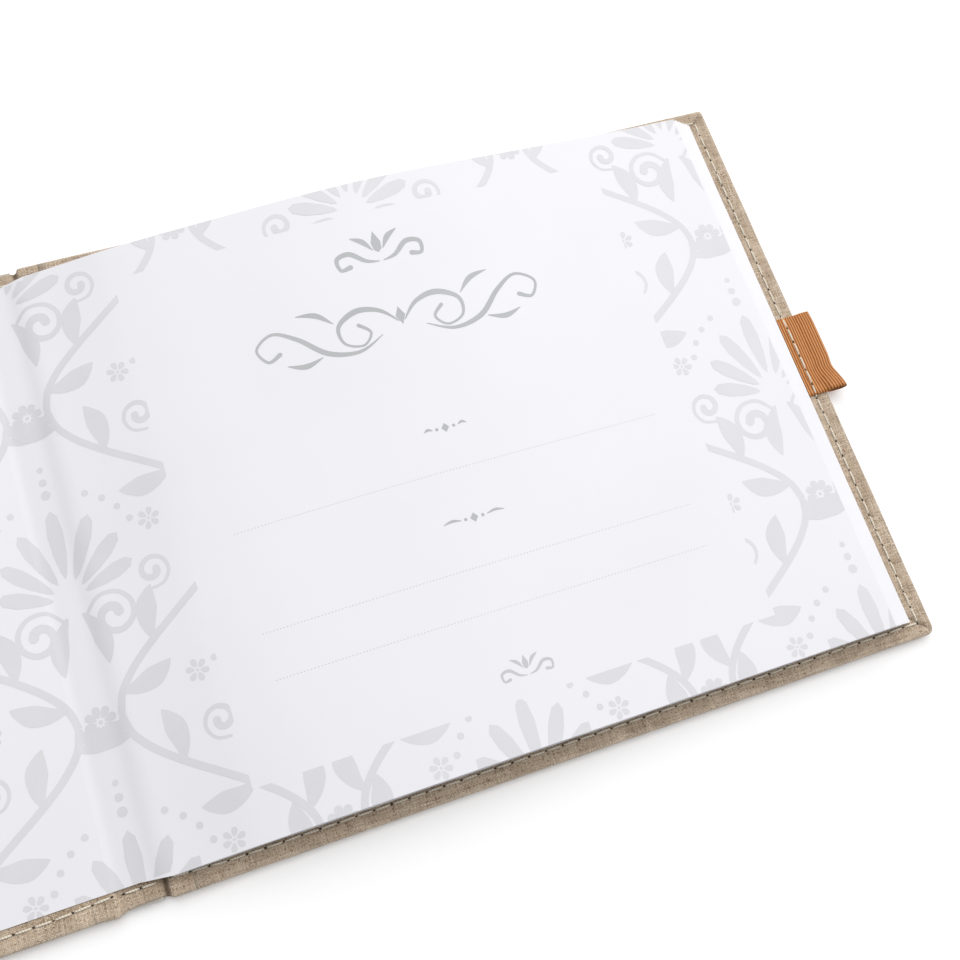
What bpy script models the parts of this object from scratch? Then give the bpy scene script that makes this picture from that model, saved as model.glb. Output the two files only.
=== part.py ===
"""A linen-covered landscape guest book, lying open and face up at its title leaf.

+X runs across the open spread towards the fore edge of the back cover, +Y towards the head of the
pages and +Z up. The origin is the centre of the underside of the open book. Lengths are metres.
"""

import math

import bpy

MM = 0.001

# Covers
COVER_WIDTH = 212 * MM  # one cover, joint edge to fore edge
COVER_HEIGHT = 175 * MM
JOINT_WIDTH = 13.2 * MM  # open gap between the two boards, which holds the spine
LOOP_REACH = 5.0 * MM  # how far the ribbon loop stands out past the fore edge
CLOTH = 0.35 * MM
BOARD = 2.0 * MM
TURN_IN = 15 * MM  # cloth folded over the inner face of a board
EDGE_ROUND = 0.9 * MM
MITRE_SLIT = 0.2 * MM
GAP = 0.15 * MM  # clearance between pieces that are glued, sewn or resting on each other

# Spine hinges
AXIS_HEIGHT = 1.2 * MM
AXIS_INSET = 0.9 * MM  # from a board's joint edge to its hinge axis
SPINE_BOARD = 1.45 * MM
SPINE_CLEAR = 2.1 * MM  # the spine's inner layers stay this far from both hinge axes

# Pages
PAGE_MARGIN = 4.8 * MM  # cover beyond the pages at head and tail
PASTEDOWN_MARGIN = 5.8 * MM
PAPER = 0.2 * MM
SECTION = 0.8 * MM
SECTION_COUNT = 5
BLOCK_START = 2.3 * MM  # first page edge, right of the back hinge axis
LOW_FORE_EDGE = 6.4 * MM  # lowest leaf, back from the cover's fore edge
TOP_FORE_EDGE = 13.7 * MM  # title leaf, back from the cover's fore edge
GUTTER_FALL = 0.3  # height left in the pages at the gutter
GUTTER_LENGTH = 42 * MM
LEAF_ARCH = 1.15 * MM
ARCH_SKEW = 0.57  # moves the top of the arch towards the gutter
PAGE_STEPS = 14

# Sewing and ribbon
THREAD_RADIUS = 0.25 * MM
STITCH_INSET = 4.0 * MM
STITCH_CORNER = 1.2 * MM
THREAD_START = 3.0 * MM  # cover thread ends this far from its hinge axis
RIBBON_WIDTH = 25.4 * MM
RIBBON = 0.4 * MM
LOOP_HEIGHT = 2.4 * MM
LOOP_START = 0.5 * MM
SEWING_PITCH = 20 * MM

# Heights of the layers in an open cover, from the table up
BOARD_LOW = CLOTH + GAP
BOARD_TOP = BOARD_LOW + BOARD
COVER_TOP = BOARD_TOP + GAP + CLOTH
PASTEDOWN_LOW = COVER_TOP + GAP
PASTEDOWN_TOP = PASTEDOWN_LOW + PAPER
BLOCK_LOW = PASTEDOWN_TOP + GAP
SECTIONS_LOW = BLOCK_LOW + PAPER + GAP
SECTIONS_TOP = SECTIONS_LOW + SECTION_COUNT * SECTION + (SECTION_COUNT - 1) * GAP
TITLE_TOP = SECTIONS_TOP + 2 * (GAP + PAPER)

# Places across the spread
BACK_FORE = COVER_WIDTH + (JOINT_WIDTH - LOOP_REACH) / 2
BACK_INNER = BACK_FORE - COVER_WIDTH
FRONT_INNER = BACK_INNER - JOINT_WIDTH
FRONT_FORE = FRONT_INNER - COVER_WIDTH
BACK_AXIS = BACK_INNER - AXIS_INSET
FRONT_AXIS = FRONT_INNER + AXIS_INSET
PAGE_START = BACK_AXIS + BLOCK_START

PAGE_HALF = COVER_HEIGHT / 2 - PAGE_MARGIN
PASTEDOWN_HALF = COVER_HEIGHT / 2 - PASTEDOWN_MARGIN
STITCH_HALF = COVER_HEIGHT / 2 - STITCH_INSET


def clear_scene():
    for thing in list(bpy.data.objects):
        bpy.data.objects.remove(thing, do_unlink=True)


def make_collection(name):
    group = bpy.data.collections.new(name)
    bpy.context.scene.collection.children.link(group)
    return group


def make_material(name, colour, roughness, metallic=0.0):
    material = bpy.data.materials.new(name)
    material.use_nodes = True
    shader = material.node_tree.nodes["Principled BSDF"]
    shader.inputs["Base Color"].default_value = (*colour, 1.0)
    shader.inputs["Roughness"].default_value = roughness
    shader.inputs["Metallic"].default_value = metallic
    return material


def place(thing, group, material=None):
    """Moves an object into its collection and gives it its material."""
    for old in list(thing.users_collection):
        old.objects.unlink(thing)
    group.objects.link(thing)
    if material:
        thing.data.materials.append(material)
    return thing


def box(name, low, high, group, material=None):
    """A box between two corners, with its scale applied."""
    middle = [(a + b) / 2 for a, b in zip(low, high)]
    bpy.ops.mesh.primitive_cube_add(size=1, location=middle)
    thing = bpy.context.object
    thing.name = name
    thing.scale = [b - a for a, b in zip(low, high)]
    bpy.ops.object.transform_apply(location=False, rotation=False, scale=True)
    return place(thing, group, material)


def slab(name, outlines, half_depth, group, material):
    """A flat outline in X and Z, extruded both ways along Y; a second outline is a hole."""
    curve = bpy.data.curves.new(name, "CURVE")
    curve.dimensions = "2D"
    curve.fill_mode = "BOTH"
    curve.extrude = half_depth
    for outline in outlines:
        spline = curve.splines.new("POLY")
        spline.points.add(len(outline) - 1)
        for point, (x, z) in zip(spline.points, outline):
            point.co = (x, z, 0, 1)
        spline.use_cyclic_u = True
    thing = bpy.data.objects.new(name, curve)
    thing.rotation_euler = (math.pi / 2, 0, 0)
    return place(thing, group, material)


def thread(name, path, group, material):
    """A sewing thread along a path of points."""
    curve = bpy.data.curves.new(name, "CURVE")
    curve.dimensions = "3D"
    curve.bevel_depth = THREAD_RADIUS
    curve.bevel_resolution = 1
    curve.use_fill_caps = True
    spline = curve.splines.new("POLY")
    spline.points.add(len(path) - 1)
    for point, place_ in zip(spline.points, path):
        point.co = (*place_, 1)
    return place(bpy.data.objects.new(name, curve), group, material)


def bevel(thing, width, segments):
    modifier = thing.modifiers.new("Rounded edges", "BEVEL")
    modifier.width = width
    modifier.segments = segments
    modifier.limit_method = "NONE"


def cut(thing, cutter):
    cutter.hide_render = True
    cutter.display_type = "WIRE"
    modifier = thing.modifiers.new("Cut " + cutter.name, "BOOLEAN")
    modifier.operation = "DIFFERENCE"
    modifier.object = cutter


def hinge(name, x, z, group):
    """An empty on a joint's axis, which runs along Y."""
    axis = bpy.data.objects.new(name, None)
    axis.location = (x, 0, z)
    group.objects.link(axis)
    bpy.context.view_layer.update()
    return axis


def hang_on(axis, things):
    """Parents pieces to a joint's empty without moving them."""
    for thing in things:
        thing.parent = axis
        thing.matrix_parent_inverse = axis.matrix_world.inverted()


def smooth(t):
    t = min(1.0, max(0.0, t))
    return t * t * (3 - 2 * t)


# ---- covers ----

def cover_board(name, inner, fore, parts, material):
    """The stiff board of one cover."""
    inset = CLOTH + GAP
    side = math.copysign(1, fore - inner)
    low_x, high_x = sorted((inner, fore - side * inset))
    half = COVER_HEIGHT / 2 - inset
    board = box(name, (low_x, -half, BOARD_LOW), (high_x, half, BOARD_TOP), parts, material)
    bevel(board, 0.3 * MM, 1)
    return board


def cover_cloth(name, inner, axis, fore, parts, cutters, material):
    """Cloth under a board, up round three of its edges and turned in over its inner face."""
    side = math.copysign(1, fore - inner)
    half = COVER_HEIGHT / 2
    past = 5 * MM  # how far a cutter runs past what it cuts
    beyond = axis - side * past
    low_x, high_x = sorted((axis - side * past / 2, fore))
    cloth = box(name, (low_x, -half, 0), (high_x, half, COVER_TOP), parts, material)
    bevel(cloth, EDGE_ROUND, 3)

    def cutter(suffix, end_x, half_y, low_z, high_z):
        """Cuts from beyond the hinge axis up to end_x."""
        x_a, x_b = sorted((beyond, end_x))
        cut(cloth, box(name + suffix, (x_a, -half_y, low_z), (x_b, half_y, high_z), cutters))

    cutter("_board_space", fore - side * CLOTH, half - CLOTH, CLOTH, BOARD_TOP + GAP)
    cutter("_window", fore - side * TURN_IN, half - TURN_IN, BOARD_TOP, COVER_TOP + past)
    cutter("_joint_space", inner, half + past, CLOTH, COVER_TOP + past)
    cutter("_joint_edge", axis + side * GAP, half + 2 * past, -past, COVER_TOP + 2 * past)
    mitre_slits(cloth, name, fore, side, cutters)
    return cloth


def mitre_slits(cloth, name, fore, side, cutters):
    """The diagonal seams where two turn-ins meet at a corner."""
    reach = (TURN_IN - 3 * MM) * math.sqrt(2)
    for end in (-1, 1):
        middle = (fore - side * (TURN_IN + 3 * MM) / 2, end * (COVER_HEIGHT - TURN_IN - 3 * MM) / 2)
        bpy.ops.mesh.primitive_cube_add(size=1, location=(*middle, BOARD_TOP + GAP + CLOTH))
        slit = bpy.context.object
        slit.name = name + ("_mitre_tail" if end < 0 else "_mitre_head")
        slit.scale = (reach, MITRE_SLIT, 2 * CLOTH)
        slit.rotation_euler = (0, 0, side * end * math.pi / 4)
        cut(cloth, place(slit, cutters))


def pastedown(name, inner, fore, parts, material):
    """The endpaper half that is glued inside a cover."""
    side = math.copysign(1, fore - inner)
    low_x, high_x = sorted((inner + side * 0.5 * MM, fore - side * LOW_FORE_EDGE))
    low = (low_x, -PASTEDOWN_HALF, PASTEDOWN_LOW)
    high = (high_x, PASTEDOWN_HALF, PASTEDOWN_TOP)
    return box(name, low, high, parts, material)


def cover_thread(name, axis, fore, over_ribbon, parts, material):
    """The line of thread round the three free edges of a cover."""
    side = math.copysign(1, fore - axis)
    line_x = fore - side * STITCH_INSET
    height = COVER_TOP + GAP + THREAD_RADIUS
    path = [(axis + side * THREAD_START, -STITCH_HALF, height)]
    corner = [i * math.pi / 8 for i in range(5)]
    for angle in corner:
        x = line_x - side * STITCH_CORNER * (1 - math.sin(angle))
        path.append((x, -STITCH_HALF + STITCH_CORNER * (1 - math.cos(angle)), height))
    if over_ribbon:
        raised = height + RIBBON + GAP
        near, far = RIBBON_WIDTH / 2 + 0.5 * MM, RIBBON_WIDTH / 2 + 2 * MM
        path += [(line_x, y, z) for y, z in ((-far, height), (-near, raised), (near, raised), (far, height))]
    path += [(x, -y, z) for x, y, z in reversed(path[: 1 + len(corner)])]
    return thread(name, path, parts, material)


# ---- spine ----

def spine_pieces(parts, cutters, linen, card, mull, cream):
    """The spine strip with its cloth, lining, section sewing and the two ends of cover stitching."""
    half = COVER_HEIGHT / 2
    low_x, high_x = FRONT_AXIS + SPINE_CLEAR, BACK_AXIS - SPINE_CLEAR
    strip_top = BOARD_LOW + SPINE_BOARD
    strip_inset = 1.5 * MM
    inset = CLOTH + GAP
    strip = box("spine_board", (FRONT_AXIS + strip_inset, -half + inset, BOARD_LOW),
                (BACK_AXIS - strip_inset, half - inset, strip_top), parts, card)

    lining_top = strip_top + GAP + 0.3 * MM
    lining_half = half - TURN_IN - 2 * MM
    lining = box("spine_lining", (low_x, -lining_half, strip_top + GAP),
                 (high_x, lining_half, lining_top), parts, mull)

    sewing = section_sewing(low_x, high_x, lining_half - 6 * MM, lining_top + GAP + THREAD_RADIUS, parts, cream)
    cloth = spine_cloth(low_x, high_x, strip_top, parts, cutters, linen)

    stitch_height = strip_top + GAP + CLOTH + GAP + THREAD_RADIUS
    ends = [
        thread(f"spine_stitching_{end}", [(low_x + 0.2 * MM, y, stitch_height), (high_x - 0.2 * MM, y, stitch_height)],
               parts, cream)
        for end, y in (("tail", -STITCH_HALF), ("head", STITCH_HALF))
    ]
    return [strip, lining, sewing, cloth, *ends]


def section_sewing(low_x, high_x, half, height, parts, cream):
    """One thread that steps from fold to fold along the spine lining."""
    steps = int(2 * half / SEWING_PITCH)
    left, right = low_x + 0.5 * MM, high_x - 0.5 * MM
    path = []
    for i in range(steps + 1):
        y = -half + i * 2 * half / steps
        path.append((left if i % 2 else right, y, height))
    return thread("section_sewing", path, parts, cream)


def spine_cloth(low_x, high_x, strip_top, parts, cutters, linen):
    """The cloth under the spine strip, with a tongue at head and tail folded in over it."""
    half = COVER_HEIGHT / 2
    past = 5 * MM
    fold_top = strip_top + GAP + CLOTH
    cloth = box("spine_cloth", (FRONT_AXIS + GAP, -half, 0), (BACK_AXIS - GAP, half, fold_top), parts, linen)
    spaces = (
        ("_strip_space", (low_x - past, -half + CLOTH, CLOTH), (high_x + past, half - CLOTH, strip_top + GAP)),
        ("_window", (low_x - past, -half + TURN_IN, CLOTH), (high_x + past, half - TURN_IN, fold_top + past)),
        ("_front_joint", (FRONT_AXIS - past, -half - past, CLOTH), (low_x, half + past, fold_top + past)),
        ("_back_joint", (high_x, -half - past, CLOTH), (BACK_AXIS + past, half + past, fold_top + past)),
    )
    for suffix, low, high in spaces:
        cut(cloth, box("spine_cloth" + suffix, low, high, cutters))
    return cloth


# ---- pages ----

def page_height(level, x):
    """The height at x of a layer of the text block that lies at a level on the flat pages."""
    fall = GUTTER_FALL + (1 - GUTTER_FALL) * smooth((x - PAGE_START) / GUTTER_LENGTH)
    return SECTIONS_LOW + (level - SECTIONS_LOW) * fall


def fore_edge(level):
    """Where the slanted fore edge of the open text block stands at a level."""
    t = (level - BLOCK_LOW) / (TITLE_TOP - BLOCK_LOW)
    return BACK_FORE - LOW_FORE_EDGE - t * (TOP_FORE_EDGE - LOW_FORE_EDGE)


def stations(end):
    """Places along a page, closer together over the gutter's curve."""
    curved = [PAGE_START + GUTTER_LENGTH * i / PAGE_STEPS for i in range(PAGE_STEPS)]
    start = PAGE_START + GUTTER_LENGTH
    flat_steps = PAGE_STEPS // 2
    return curved + [start + (end - start) * i / flat_steps for i in range(flat_steps + 1)]


def section(number, parts, material):
    """One folded section of the text block."""
    low = SECTIONS_LOW + number * (SECTION + GAP)
    top = low + SECTION
    under = [(x, page_height(low, x)) for x in stations(fore_edge(low))]
    over = [(x, page_height(top, x)) for x in stations(fore_edge(top))]
    # The block's lowest section is section_1.
    return slab(f"section_{number + 1}", [under + over[::-1]], PAGE_HALF, parts, material)


def leaf(name, lift, arch, parts, material):
    """A single leaf, lying a set lift above the sections and arched up by a share of the full arch."""
    end = fore_edge(SECTIONS_TOP + lift)
    length = end - PAGE_START

    def height(x):
        v = max(0.0, (x - PAGE_START) / length) ** ARCH_SKEW
        return page_height(SECTIONS_TOP, x) + lift + arch * LEAF_ARCH * 4 * v * (1 - v)

    places = stations(end)
    under = [(x, height(x)) for x in places]
    over = [(x, z + PAPER) for x, z in under]
    return slab(name, [under + over[::-1]], PAGE_HALF, parts, material)


def flyleaf(parts, material):
    """The last leaf, which lies flat on the back pastedown."""
    low = (PAGE_START, -PAGE_HALF, BLOCK_LOW)
    high = (fore_edge(BLOCK_LOW), PAGE_HALF, BLOCK_LOW + PAPER)
    return box("back_flyleaf", low, high, parts, material)


# ---- ribbon ----

def ribbon_tab(parts, material):
    """The sewn end of the ribbon, flat on the back cover's turn-in."""
    low = (BACK_FORE - LOW_FORE_EDGE + 0.2 * MM, -RIBBON_WIDTH / 2, COVER_TOP + GAP)
    high = (BACK_FORE + 0.2 * MM, RIBBON_WIDTH / 2, COVER_TOP + GAP + RIBBON)
    return box("ribbon_tab", low, high, parts, material)


def rounded_bar(low_x, high_x, middle_z, radius):
    """The outline of a flat bar with round ends."""
    steps = 8
    outline = []
    for centre, start in ((high_x - radius, -math.pi / 2), (low_x + radius, math.pi / 2)):
        for i in range(steps + 1):
            angle = start + math.pi * i / steps
            outline.append((centre + radius * math.cos(angle), middle_z + radius * math.sin(angle)))
    return outline


def ribbon_loop(parts, material):
    """The flattened loop of ribbon that stands out past the fore edge."""
    radius = LOOP_HEIGHT / 2
    low_x, high_x = BACK_FORE + LOOP_START, BACK_FORE + LOOP_REACH
    middle_z = COVER_TOP + GAP + RIBBON / 2
    outer = rounded_bar(low_x, high_x, middle_z, radius)
    inner = rounded_bar(low_x + RIBBON, high_x - RIBBON, middle_z, radius - RIBBON)
    return slab("ribbon_loop", [outer, inner], RIBBON_WIDTH / 2, parts, material)


def build():
    clear_scene()
    parts = make_collection("guest_book")
    cutters = make_collection("cutters")

    linen = make_material("linen", (0.52, 0.42, 0.31), 0.9)
    greyboard = make_material("greyboard", (0.42, 0.40, 0.37), 0.9)
    card = make_material("spine_card", (0.50, 0.46, 0.40), 0.9)
    endpaper = make_material("endpaper", (0.86, 0.86, 0.88), 0.55)
    paper = make_material("page_paper", (0.88, 0.88, 0.87), 0.7)
    mull = make_material("mull", (0.72, 0.69, 0.62), 0.95)
    cream = make_material("cream_thread", (0.85, 0.80, 0.68), 0.7)
    tan = make_material("tan_ribbon", (0.62, 0.33, 0.13), 0.6)

    cover_board("back_board", BACK_INNER, BACK_FORE, parts, greyboard)
    cover_cloth("back_cover_cloth", BACK_INNER, BACK_AXIS, BACK_FORE, parts, cutters, linen)
    pastedown("back_pastedown", BACK_INNER, BACK_FORE, parts, endpaper)
    cover_thread("back_stitching", BACK_AXIS, BACK_FORE, True, parts, cream)
    ribbon_tab(parts, tan)
    flyleaf(parts, endpaper)
    for number in range(SECTION_COUNT):
        section(number, parts, paper)

    spine_axis = hinge("spine_axis", BACK_AXIS, AXIS_HEIGHT, parts)
    hang_on(spine_axis, spine_pieces(parts, cutters, linen, card, mull, cream))

    front_axis = hinge("front_cover_axis", FRONT_AXIS, AXIS_HEIGHT, parts)
    front = [
        cover_board("front_board", FRONT_INNER, FRONT_FORE, parts, greyboard),
        cover_cloth("front_cover_cloth", FRONT_INNER, FRONT_AXIS, FRONT_FORE, parts, cutters, linen),
        pastedown("front_pastedown", FRONT_INNER, FRONT_FORE, parts, endpaper),
        cover_thread("front_stitching", FRONT_AXIS, FRONT_FORE, False, parts, cream),
    ]
    hang_on(front_axis, front)
    hang_on(spine_axis, [front_axis])

    guest_lift = GAP
    title_lift = 2 * GAP + PAPER
    gutter = page_height(SECTIONS_TOP, PAGE_START) + PAPER / 2
    guest_axis = hinge("guest_leaf_axis", PAGE_START, gutter + guest_lift, parts)
    hang_on(guest_axis, [leaf("guest_leaf", guest_lift, 0.5, parts, paper)])
    title_axis = hinge("title_leaf_axis", PAGE_START, gutter + title_lift, parts)
    hang_on(title_axis, [leaf("title_leaf", title_lift, 1.0, parts, endpaper)])
    hang_on(guest_axis, [title_axis])

    loop_axis = hinge("ribbon_loop_axis", BACK_FORE + LOOP_START - 0.15 * MM, COVER_TOP + GAP + RIBBON / 2, parts)
    hang_on(loop_axis, [ribbon_loop(parts, tan)])


build()
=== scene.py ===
"""The looks of the linen guest book: cloth, thread, ribbon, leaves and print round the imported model.

Shapes are worked out in millimetres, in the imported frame, and scaled to metres where a mesh is made.
"""

import math

import bmesh
import bpy
from mathutils import Euler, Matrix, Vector, noise
from mathutils.geometry import tessellate_polygon


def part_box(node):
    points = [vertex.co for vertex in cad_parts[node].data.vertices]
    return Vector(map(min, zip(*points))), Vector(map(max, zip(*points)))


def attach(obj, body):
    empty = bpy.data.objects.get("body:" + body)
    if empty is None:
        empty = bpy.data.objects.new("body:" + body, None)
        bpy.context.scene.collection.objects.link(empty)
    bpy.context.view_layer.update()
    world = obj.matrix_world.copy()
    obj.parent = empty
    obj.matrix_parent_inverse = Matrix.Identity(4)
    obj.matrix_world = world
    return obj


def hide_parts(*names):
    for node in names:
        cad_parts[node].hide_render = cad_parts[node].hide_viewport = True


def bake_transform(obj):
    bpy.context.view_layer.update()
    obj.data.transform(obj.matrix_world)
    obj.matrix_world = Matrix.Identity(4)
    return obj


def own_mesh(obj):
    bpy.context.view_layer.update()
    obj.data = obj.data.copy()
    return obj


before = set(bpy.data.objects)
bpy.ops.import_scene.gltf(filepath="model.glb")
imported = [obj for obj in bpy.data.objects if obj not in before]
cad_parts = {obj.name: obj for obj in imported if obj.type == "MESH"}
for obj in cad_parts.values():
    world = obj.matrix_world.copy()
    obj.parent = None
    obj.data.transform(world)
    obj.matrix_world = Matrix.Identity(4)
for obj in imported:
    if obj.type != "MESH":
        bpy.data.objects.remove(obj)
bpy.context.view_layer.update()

MM = 0.001


def box_mm(node):
    low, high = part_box(node)
    return low / MM, high / MM


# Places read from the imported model
COVER_LOW, COVER_HIGH = box_mm("back_cover_cloth")
BACK_FORE = COVER_HIGH.x
FRONT_FORE = box_mm("front_cover_cloth")[0].x
COVER_HALF = COVER_HIGH.y
COVER_TOP = COVER_HIGH.z
BACK_INNER = box_mm("back_board")[0].x
FRONT_INNER = box_mm("front_board")[1].x
BACK_AXIS = COVER_LOW.x - 0.15
FRONT_AXIS = box_mm("front_cover_cloth")[1].x + 0.15
SPINE_MIDDLE = (BACK_AXIS + FRONT_AXIS) / 2
LEAF_LOW, LEAF_HIGH = box_mm("title_leaf")
PAGE_START = LEAF_LOW.x
TITLE_END = LEAF_HIGH.x
PAGE_HALF = LEAF_HIGH.y
PASTEDOWN_TOP = box_mm("front_pastedown")[1].z
PASTEDOWN_HALF = box_mm("front_pastedown")[1].y
FLYLEAF_HIGH = box_mm("back_flyleaf")[1]
SECTIONS_LOW = box_mm("section_1")[0].z
SECTIONS_HEIGHT = box_mm("section_5")[1].z - SECTIONS_LOW
SECTION_NAMES = [f"section_{k + 1}" for k in range(5)]
STITCH_X = 4.0  # from a cover's fore edge to its line of stitches
STITCH_HALF = COVER_HALF - 4.0

# Cloth
CLOTH = 0.35
TURN_IN = 15.0
UNDERSIDE = 0.12  # the cloth's underside, which leaves room for the stitches under it
JOINT_REACH = 12.0  # width of the two cloth strips that bend over the spine's hinges
EDGE_STEP = 4.0
STITCH_PITCH = 4.63

# Pages
PAPER = 0.2
GUTTER_LENGTH = 44.0
LEAVES_IN_SECTION = 4
CREASE = FRONT_INNER - 0.3  # where the endpaper bends down onto the front board

# Print
INK_LIFT = 0.02
INK_STEP = 0.002
INK_LAYERS = 12
PATTERN_AXIS = SPINE_MIDDLE
PATTERN_WIDTH = 50.0  # from a mirror axis to the next, which is half a repeat higher
PATTERN_HEIGHT = 84.0
PANEL_LEFT, PANEL_RIGHT = BACK_FORE - 187.4, BACK_FORE - 44.8
PANEL_LOW, PANEL_HIGH = -COVER_HALF + 17.8, -COVER_HALF + 160.5


def smooth(t):
    t = min(1.0, max(0.0, t))
    return t * t * (3 - 2 * t)


def wobble(x, y, seed, size):
    """A small smooth unevenness, at most about size, that changes over some 15 mm."""
    return size * noise.noise(Vector((x / 15.0, y / 15.0, seed)))


# ---------------------------------------------------------------- materials

WHITE = (1.0, 1.0, 1.0)


class Nodes:
    """Short names for building one material's node tree."""

    def __init__(self, name):
        self.material = bpy.data.materials.new(name)
        self.material.use_nodes = True
        self.tree = self.material.node_tree
        self.shader = self.tree.nodes["Principled BSDF"]

    def add(self, kind, **settings):
        node = self.tree.nodes.new("ShaderNode" + kind)
        for key, value in settings.items():
            setattr(node, key, value)
        return node

    def link(self, source, target):
        self.tree.links.new(source, target)

    def feed(self, socket, value):
        """Sets an input to a number or joins it to an output."""
        if isinstance(value, (int, float, tuple)):
            socket.default_value = value
        else:
            self.link(value, socket)

    def math(self, operation, a, b=0.0, c=0.0):
        node = self.add("Math", operation=operation)
        for socket, value in zip(node.inputs, (a, b, c)):
            self.feed(socket, value)
        return node.outputs[0]

    def noise(self, vector, scale, detail=2.0, roughness=0.5):
        node = self.add("TexNoise")
        self.feed(node.inputs["Vector"], vector)
        node.inputs["Scale"].default_value = scale
        node.inputs["Detail"].default_value = detail
        node.inputs["Roughness"].default_value = roughness
        return node.outputs[0]

    def vector(self, x, y, z=0.0):
        node = self.add("CombineXYZ")
        for socket, value in zip(node.inputs, (x, y, z)):
            self.feed(socket, value)
        return node.outputs[0]

    def ramp(self, value, *stops):
        node = self.add("ValToRGB")
        self.feed(node.inputs[0], value)
        elements = node.color_ramp.elements
        while len(elements) < len(stops):
            elements.new(0.5)
        for element, (place, colour) in zip(elements, stops):
            element.position = place
            element.color = (*colour, 1.0)
        return node.outputs[0]

    def mix(self, factor, a, b, blend="MIX"):
        node = self.add("MixRGB", blend_type=blend)
        for socket, value in zip(node.inputs, (factor, a, b)):
            self.feed(socket, value)
        return node.outputs[0]

    def times(self, a, b):
        return self.math("MULTIPLY", a, b)

    def shade(self, factor, base, value, *stops):
        """The base colour, darkened by a ramp."""
        return self.mix(factor, base, self.ramp(value, *stops), "MULTIPLY")

    def surface(self):
        """The cloth, thread or paper coordinates stored with the mesh, in millimetres."""
        attribute = self.add("Attribute", attribute_name="surface")
        split = self.add("SeparateXYZ")
        self.link(attribute.outputs["Vector"], split.inputs[0])
        return split.outputs

    def bump(self, height, strength, distance):
        node = self.add("Bump")
        node.inputs["Strength"].default_value = strength
        node.inputs["Distance"].default_value = distance
        self.link(height, node.inputs["Height"])
        self.link(node.outputs[0], self.shader.inputs["Normal"])

    def finish(self, colour, roughness):
        self.feed(self.shader.inputs["Base Color"], colour)
        self.feed(self.shader.inputs["Roughness"], roughness)
        return self.material


def weave(nodes, u, v, pitch):
    """Height of a plain weave and a number for each of its crossing threads."""
    drift = nodes.math("SUBTRACT", nodes.noise(nodes.vector(u, v), 0.22, 1.0), 0.5)
    across = nodes.math("MULTIPLY_ADD", drift, 0.9, nodes.math("DIVIDE", u, pitch))
    along = nodes.math("MULTIPLY_ADD", drift, 0.9, nodes.math("DIVIDE", v, pitch))
    column, row = nodes.math("FLOOR", across), nodes.math("FLOOR", along)
    over = nodes.math("MODULO", nodes.math("ABSOLUTE", nodes.math("ADD", column, row)), 2.0)
    warp = nodes.math("SINE", nodes.times(nodes.math("FRACT", across), math.pi))
    weft = nodes.math("SINE", nodes.times(nodes.math("FRACT", along), math.pi))
    height = nodes.math("ADD", nodes.times(warp, over),
                        nodes.times(weft, nodes.math("SUBTRACT", 1.0, over)))
    warp_tone = nodes.noise(nodes.vector(nodes.times(column, 3.7), nodes.times(v, 0.11), 2.0), 1.0)
    weft_tone = nodes.noise(nodes.vector(nodes.times(u, 0.11), nodes.times(row, 3.7), 7.0), 1.0)
    tone = nodes.math("ADD", nodes.times(warp_tone, over),
                      nodes.times(weft_tone, nodes.math("SUBTRACT", 1.0, over)))
    return height, tone


def linen_material():
    """Undyed linen: a plain weave of uneven threads, with slubs, dark flecks, rubbed edges and painted shade
    in the hollows between the threads and down in the hinge grooves.
    """
    nodes = Nodes("linen_look")
    # the third value holds rubbed wear above zero and painted shade in the hinge grooves below zero
    u, v, wear_and_groove_shade = nodes.surface()
    height, tone = weave(nodes, u, v, 0.42)
    patches = nodes.noise(nodes.vector(u, v), 0.16, 3.0)
    flecks = nodes.noise(nodes.vector(u, v, 4.0), 1.9, 2.0, 0.6)
    base = nodes.ramp(tone, (0.26, (0.36, 0.26, 0.17)), (0.5, (0.65, 0.515, 0.385)),
                      (0.76, (0.90, 0.78, 0.63)))
    base = nodes.shade(0.5, base, patches, (0.3, (0.60, 0.57, 0.53)), (0.7, WHITE))
    base = nodes.shade(1.0, base, flecks, (0.31, (0.46, 0.38, 0.31)), (0.43, WHITE))
    # painted shade between the threads, darker where the weave sinks
    base = nodes.shade(1.0, base, height, (0.0, (0.62, 0.58, 0.53)), (0.55, WHITE))
    base = nodes.mix(nodes.math("MAXIMUM", wear_and_groove_shade, 0.0), base, (0.80, 0.72, 0.61, 1.0))
    # painted shade: deep brown where the cloth sinks into the hinge groove
    painted_groove_shade = nodes.math("MAXIMUM", nodes.times(wear_and_groove_shade, -1.0), 0.0)
    base = nodes.mix(painted_groove_shade, base, (0.10, 0.065, 0.035, 1.0))
    slubs = nodes.math("MULTIPLY_ADD", tone, 0.9, height)
    nodes.bump(slubs, 0.7, 0.00012)
    nodes.shader.inputs["Sheen Weight"].default_value = 0.25
    nodes.shader.inputs["Sheen Roughness"].default_value = 0.5
    nodes.shader.inputs["Specular IOR Level"].default_value = 0.2
    roughness = nodes.math("MULTIPLY_ADD", tone, -0.15, 0.98)
    return nodes.finish(base, roughness)


def paper_material(name, low, high, roughness):
    """Smooth paper with a faint unevenness of tone and a trace of fibre."""
    nodes = Nodes(name)
    place = nodes.add("TexCoord").outputs["Object"]
    clouds = nodes.noise(place, 24.0, 3.0)
    fibre = nodes.noise(place, 2600.0, 2.0)
    colour = nodes.ramp(clouds, (0.3, low), (0.7, high))
    nodes.bump(fibre, 0.08, 0.00003)
    nodes.shader.inputs["Specular IOR Level"].default_value = 0.35
    return nodes.finish(colour, nodes.math("MULTIPLY_ADD", clouds, 0.12, roughness))


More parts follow.
